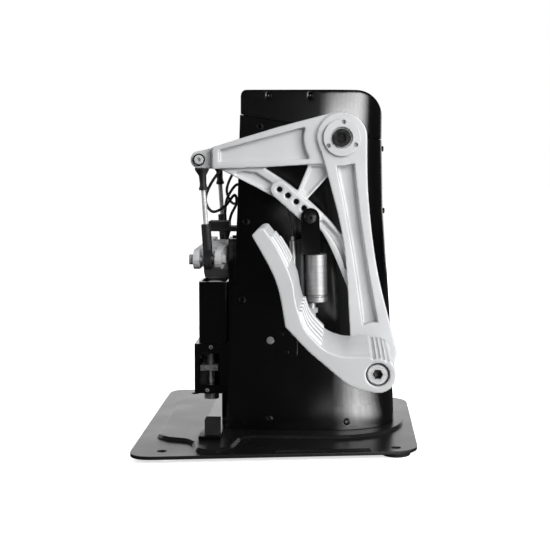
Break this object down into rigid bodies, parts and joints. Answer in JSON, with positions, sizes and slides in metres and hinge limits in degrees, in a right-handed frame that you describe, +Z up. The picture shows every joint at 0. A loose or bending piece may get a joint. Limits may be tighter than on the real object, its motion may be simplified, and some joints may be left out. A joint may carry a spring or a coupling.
{
  "type": "flight rudder pedals",
  "caption": "Hanging flight rudder pedals: cast arms swing in opposite directions on a tower, each with a tipping toe brake pedal, on a flat base plate.",
  "frame": {"origin": "on the floor, under the middle of the object", "axes": "+X towards the sitting user, -Y to the user's left, +Z up"},
  "size_m": [0.246, 0.44, 0.3155],
  "materials": {
    "cast_aluminium": "satin light grey paint on cast aluminium",
    "black_paint": "satin black powder coat",
    "base_paint": "semi-gloss black coat on pressed steel",
    "black_plastic": "moulded, matte",
    "bright_steel": "turned and zinc plated",
    "dark_steel": "blackened steel",
    "cylinder_anodising": "dark satin anodised",
    "foot_rubber": "matte",
    "cable_rubber": "matte cable jacket",
    "circuit_board": "green board"
  },
  "bodies": {
    "base": {"base_plate": "base_paint", "foot_front_left": "foot_rubber", "foot_front_right": "foot_rubber", "foot_rear_left": "foot_rubber", "foot_rear_right": "foot_rubber", "tower_shell": "black_paint", "tower_cap": "black_paint", "rear_panel": "black_paint", "inner_frame": "dark_steel", "main_axle": "bright_steel", "axle_bolt_left": "dark_steel", "axle_bolt_right": "dark_steel", "mechanism_frame": "black_paint", "usb_socket": "black_plastic", "sensor_board": "black_plastic", "controller_board": "circuit_board", "sensor_wire_left": "cable_rubber", "sensor_wire_right": "cable_rubber", "rocker_shaft": "bright_steel", "pivot_block": "cast_aluminium", "spring_housing": "black_paint", "centring_spring": "bright_steel", "spring_plunger": "bright_steel", "adjuster_block": "black_paint", "guide_rod_left": "bright_steel", "guide_rod_right": "bright_steel"},
    "rocker": {"rocker_beam": "cast_aluminium", "fork_bolt_left": "bright_steel", "fork_bolt_right": "bright_steel"},
    "preload_screw": {"preload_screw": "bright_steel"},
    "preload_seat": {"preload_seat": "bright_steel"},
    "arm_left": {"pendulum_arm_left": "cast_aluminium", "hub_bearing_left": "bright_steel", "bearing_flange_left": "cast_aluminium", "rear_pivot_bolt_left": "bright_steel", "clevis_bolt_left": "dark_steel", "heel_bolt_left": "bright_steel"},
    "pedal_left": {"pedal_left": "cast_aluminium"},
    "link_left": {"upper_rod_end_left": "black_plastic", "link_rod_left": "bright_steel", "lower_rod_end_left": "black_plastic"},
    "brake_left": {"brake_clevis_left": "black_paint", "brake_cylinder_left": "cylinder_anodising", "brake_sensor_left": "black_plastic"},
    "brake_rod_left": {"brake_rod_left": "bright_steel"},
    "arm_right": {"pendulum_arm_right": "cast_aluminium", "hub_bearing_right": "bright_steel", "bearing_flange_right": "cast_aluminium", "rear_pivot_bolt_right": "bright_steel", "clevis_bolt_right": "dark_steel", "heel_bolt_right": "bright_steel"},
    "pedal_right": {"pedal_right": "cast_aluminium"},
    "link_right": {"upper_rod_end_right": "black_plastic", "link_rod_right": "bright_steel", "lower_rod_end_right": "black_plastic"},
    "brake_right": {"brake_clevis_right": "black_paint", "brake_cylinder_right": "cylinder_anodising", "brake_sensor_right": "black_plastic"},
    "brake_rod_right": {"brake_rod_right": "bright_steel"}
  },
  "joints": [
    {"name": "arm_left_swing", "type": "hinge", "parent": "base", "child": "arm_left", "pos_m": [0.056, -0.09, 0.273], "axis": [0, 1, 0], "range_deg": [-10, 10], "stiffness_Nm_per_rad": 12},
    {"name": "pedal_left_tip", "type": "hinge", "parent": "arm_left", "child": "pedal_left", "pos_m": [0.0845, -0.165, 0.0915], "axis": [0, -1, 0], "range_deg": [0, 15], "stiffness_Nm_per_rad": 6, "springref_deg": -6.88},
    {"name": "link_left_tilt", "type": "hinge", "parent": "arm_left", "child": "link_left", "pos_m": [-0.066, -0.078, 0.2543], "axis": [0, 1, 0], "range_deg": [-13, 13]},
    {"name": "brake_left_tilt", "type": "hinge", "parent": "arm_left", "child": "brake_left", "pos_m": [0.0295, -0.096, 0.206], "axis": [0, 1, 0], "range_deg": [-0.5, 2]},
    {"name": "brake_left_stroke", "type": "slide", "parent": "brake_left", "child": "brake_rod_left", "axis": [0.0202, 0, -0.9998], "range_m": [0, 0.0145]},
    {"name": "arm_right_swing", "type": "hinge", "parent": "base", "child": "arm_right", "pos_m": [0.056, 0.09, 0.273], "axis": [0, 1, 0], "range_deg": [-10, 10]},
    {"name": "pedal_right_tip", "type": "hinge", "parent": "arm_right", "child": "pedal_right", "pos_m": [0.0845, 0.165, 0.0915], "axis": [0, -1, 0], "range_deg": [0, 15], "stiffness_Nm_per_rad": 6, "springref_deg": -6.88},
    {"name": "link_right_tilt", "type": "hinge", "parent": "arm_right", "child": "link_right", "pos_m": [-0.066, 0.078, 0.2543], "axis": [0, 1, 0], "range_deg": [-13, 13]},
    {"name": "brake_right_tilt", "type": "hinge", "parent": "arm_right", "child": "brake_right", "pos_m": [0.0295, 0.096, 0.206], "axis": [0, 1, 0], "range_deg": [-0.5, 2]},
    {"name": "brake_right_stroke", "type": "slide", "parent": "brake_right", "child": "brake_rod_right", "axis": [0.0202, 0, -0.9998], "range_m": [0, 0.0145]},
    {"name": "rocker_tilt", "type": "hinge", "parent": "base", "child": "rocker", "pos_m": [-0.0605, 0, 0.167], "axis": [1, 0, 0], "range_deg": [-15.8, 15.8]},
    {"name": "preload_seat_travel", "type": "slide", "parent": "base", "child": "preload_seat", "axis": [0, 0, 1], "range_m": [-0.00125, 0.00125]},
    {"name": "preload_screw_turn", "type": "hinge", "parent": "base", "child": "preload_screw", "pos_m": [-0.066, 0, 0.033], "axis": [0, 0, 1], "range_deg": [-360.5, 360.5]}
  ],
  "couplings": [
    {"joint": "arm_right_swing", "follows": "arm_left_swing", "ratio": -1},
    {"joint": "rocker_tilt", "follows": "arm_left_swing", "ratio": -1.5516},
    {"joint": "link_left_tilt", "follows": "arm_left_swing", "ratio": -1.2142},
    {"joint": "brake_left_tilt", "follows": "pedal_left_tip", "ratio": 0.0847},
    {"joint": "brake_left_stroke", "follows": "pedal_left_tip", "m_per_rad": 0.05435},
    {"joint": "link_right_tilt", "follows": "arm_left_swing", "ratio": 1.2142},
    {"joint": "brake_right_tilt", "follows": "pedal_right_tip", "ratio": 0.0847},
    {"joint": "brake_right_stroke", "follows": "pedal_right_tip", "m_per_rad": 0.05435},
    {"joint": "preload_screw_turn", "follows": "preload_seat_travel", "rad_per_m": 5026.6}
  ]
}
